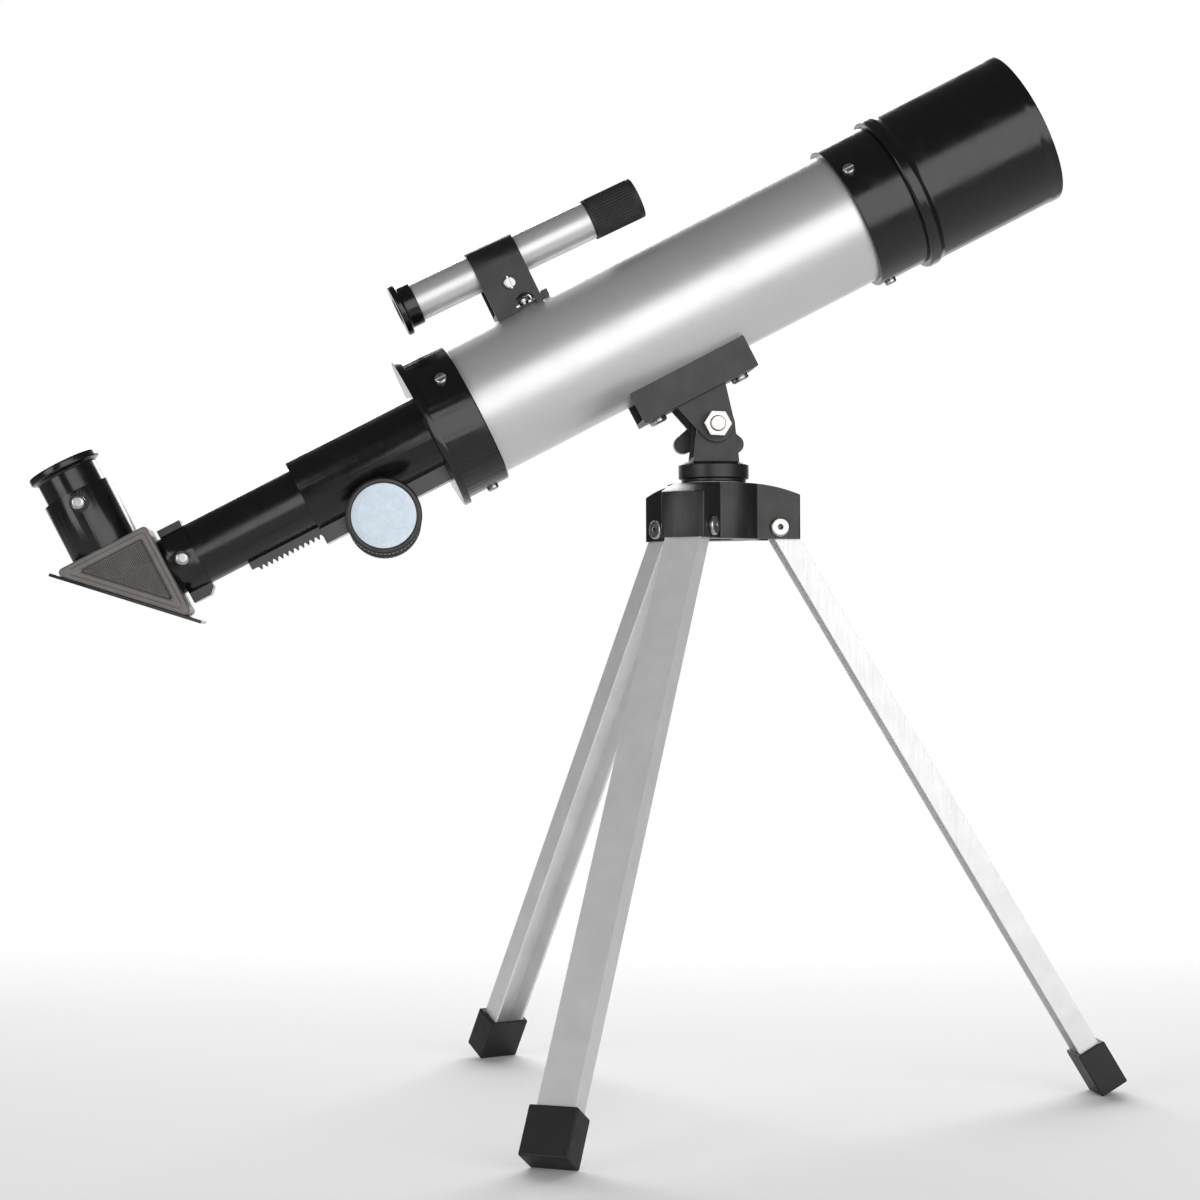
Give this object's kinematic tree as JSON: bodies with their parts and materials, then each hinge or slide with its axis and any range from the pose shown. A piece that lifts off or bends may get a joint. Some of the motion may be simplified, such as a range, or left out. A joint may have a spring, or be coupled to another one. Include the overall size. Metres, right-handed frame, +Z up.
{
  "type": "telescope on tripod",
  "caption": "Small refracting telescope with rack focuser, mirror diagonal, eyepiece and finder, on a yoke head and a folding three-leg table tripod.",
  "frame": {"origin": "on the floor under the pan axis, the middle of the three feet", "axes": "+Z up along the pan axis, +X level towards the way the objective points"},
  "size_m": [0.4461, 0.3017, 0.4282],
  "materials": {
    "satin_black": "moulded, satin",
    "gloss_black": "moulded, glossy",
    "matt_black": "moulded, matt",
    "knob_black": "moulded, semi-matt",
    "warm_grey_plastic": "moulded, fine texture",
    "dark_grey_paint": "powder coated, matt",
    "silver_tube": "metallic silver lacquer, satin",
    "leg_aluminium": "anodised, satin",
    "bright_zinc": "bright zinc plated",
    "foot_rubber": "moulded, matt",
    "nylon": "natural",
    "knob_disc": "printed face, satin",
    "optical_glass": "coated",
    "mirror_glass": "silvered"
  },
  "bodies": {
    "tripod_hub": {"tripod_hub": "satin_black", "leg_pivot_rivets": "bright_zinc", "pan_washer": "nylon"},
    "front_leg": {"front_leg_channel": "leg_aluminium", "front_leg_foot": "foot_rubber"},
    "near_leg": {"near_leg_channel": "leg_aluminium", "near_leg_foot": "foot_rubber"},
    "far_leg": {"far_leg_channel": "leg_aluminium", "far_leg_foot": "foot_rubber"},
    "pan_head": {"pan_collar": "satin_black", "tilt_yoke": "dark_grey_paint", "pan_bolt": "bright_zinc", "pan_lock_nut": "bright_zinc"},
    "telescope": {"saddle_bracket": "dark_grey_paint", "saddle_screws": "bright_zinc", "tube_inner_nuts": "bright_zinc", "tilt_bolt": "bright_zinc", "tilt_nut": "bright_zinc", "main_tube": "silver_tube", "rear_cap": "gloss_black", "tube_end_screws": "bright_zinc", "objective_cell": "gloss_black", "objective_crown": "optical_glass", "objective_flint": "optical_glass", "lens_retaining_ring": "matt_black", "tube_baffles": "matt_black", "focuser_body": "gloss_black", "focuser_screws": "bright_zinc", "drawtube_bushes": "nylon", "pinion_cover": "gloss_black", "pinion_cover_screws": "bright_zinc", "finder_tube": "silver_tube", "finder_front_cell": "matt_black", "finder_objective": "optical_glass", "finder_eye_ring": "gloss_black", "finder_eye_lens": "optical_glass", "finder_bracket": "satin_black", "finder_clamp_screw": "bright_zinc", "finder_base_screw": "bright_zinc"},
    "tilt_knob": {"tilt_knob": "knob_black"},
    "dew_shield": {"dew_shield": "gloss_black"},
    "focus_drive": {"focus_pinion": "nylon", "focus_shaft": "bright_zinc", "focus_knobs": "knob_black", "focus_knob_discs": "knob_disc"},
    "drawtube": {"drawtube": "gloss_black", "focus_rack": "gloss_black", "drawtube_collar": "gloss_black"},
    "diagonal": {"diagonal_housing": "warm_grey_plastic", "diagonal_side_plates": "warm_grey_plastic", "diagonal_mirror": "mirror_glass", "diagonal_back_cover": "gloss_black", "diagonal_nose": "gloss_black", "eyepiece_holder": "gloss_black"},
    "diagonal_clamp_screw": {"diagonal_clamp_screw": "bright_zinc"},
    "eyepiece_clamp_screw": {"eyepiece_clamp_screw": "bright_zinc"},
    "eyepiece": {"eyepiece_barrel": "gloss_black", "eyepiece_cap": "gloss_black", "eyepiece_eye_lens": "optical_glass", "eyepiece_field_lens": "optical_glass"}
  },
  "joints": [
    {"name": "pan", "type": "hinge", "parent": "tripod_hub", "child": "pan_head", "pos_m": [0, 0, 0.2525], "axis": [0, 0, 1], "continuous": true},
    {"name": "front_leg_fold", "type": "hinge", "parent": "tripod_hub", "child": "front_leg", "pos_m": [0.02568, 0.001, 0.23409], "axis": [0.0389, -0.9992, 0], "range_deg": [-30.6, 0]},
    {"name": "near_leg_fold", "type": "hinge", "parent": "tripod_hub", "child": "near_leg", "pos_m": [-0.01197, -0.02274, 0.23409], "axis": [-0.8848, 0.4659, 0], "range_deg": [-30.6, 0]},
    {"name": "far_leg_fold", "type": "hinge", "parent": "tripod_hub", "child": "far_leg", "pos_m": [-0.01371, 0.02174, 0.23409], "axis": [0.8459, 0.5333, 0], "range_deg": [-30.6, 0]},
    {"name": "tilt", "type": "hinge", "parent": "pan_head", "child": "telescope", "pos_m": [0, 0, 0.2757], "axis": [0, -1, 0], "range_deg": [-87.3, 22]},
    {"name": "tilt_knob_turn", "type": "hinge", "parent": "telescope", "child": "tilt_knob", "pos_m": [0, 0, 0.2757], "axis": [0, 1, 0], "range_deg": [0, 360]},
    {"name": "dew_shield_slide", "type": "slide", "parent": "telescope", "child": "dew_shield", "axis": [0.8884, 0, 0.4591], "range_m": [0, 0.016]},
    {"name": "focus_slide", "type": "slide", "parent": "telescope", "child": "drawtube", "axis": [-0.8884, 0, -0.4591], "range_m": [-0.047, 0.014]},
    {"name": "focus_knob_turn", "type": "hinge", "parent": "telescope", "child": "focus_drive", "pos_m": [-0.13452, 0, 0.23803], "axis": [0, -1, 0], "range_deg": [-515, 155]},
    {"name": "diagonal_turn", "type": "hinge", "parent": "drawtube", "child": "diagonal", "pos_m": [-0.21423, 0, 0.22194], "axis": [0.8884, 0, 0.4591], "continuous": true},
    {"name": "diagonal_clamp_turn", "type": "hinge", "parent": "drawtube", "child": "diagonal_clamp_screw", "pos_m": [-0.21459, -0.018, 0.22176], "axis": [0, -1, 0], "range_deg": [0, 360]},
    {"name": "eyepiece_slide", "type": "slide", "parent": "diagonal", "child": "eyepiece", "axis": [-0.4591, 0, 0.8884], "range_m": [0, 0.02]},
    {"name": "eyepiece_clamp_turn", "type": "hinge", "parent": "diagonal", "child": "eyepiece_clamp_screw", "pos_m": [-0.25545, -0.018, 0.24398], "axis": [0, -1, 0], "range_deg": [0, 360]}
  ],
  "couplings": [
    {"joint": "focus_knob_turn", "follows": "focus_slide", "rad_per_m": 190.48}
  ]
}
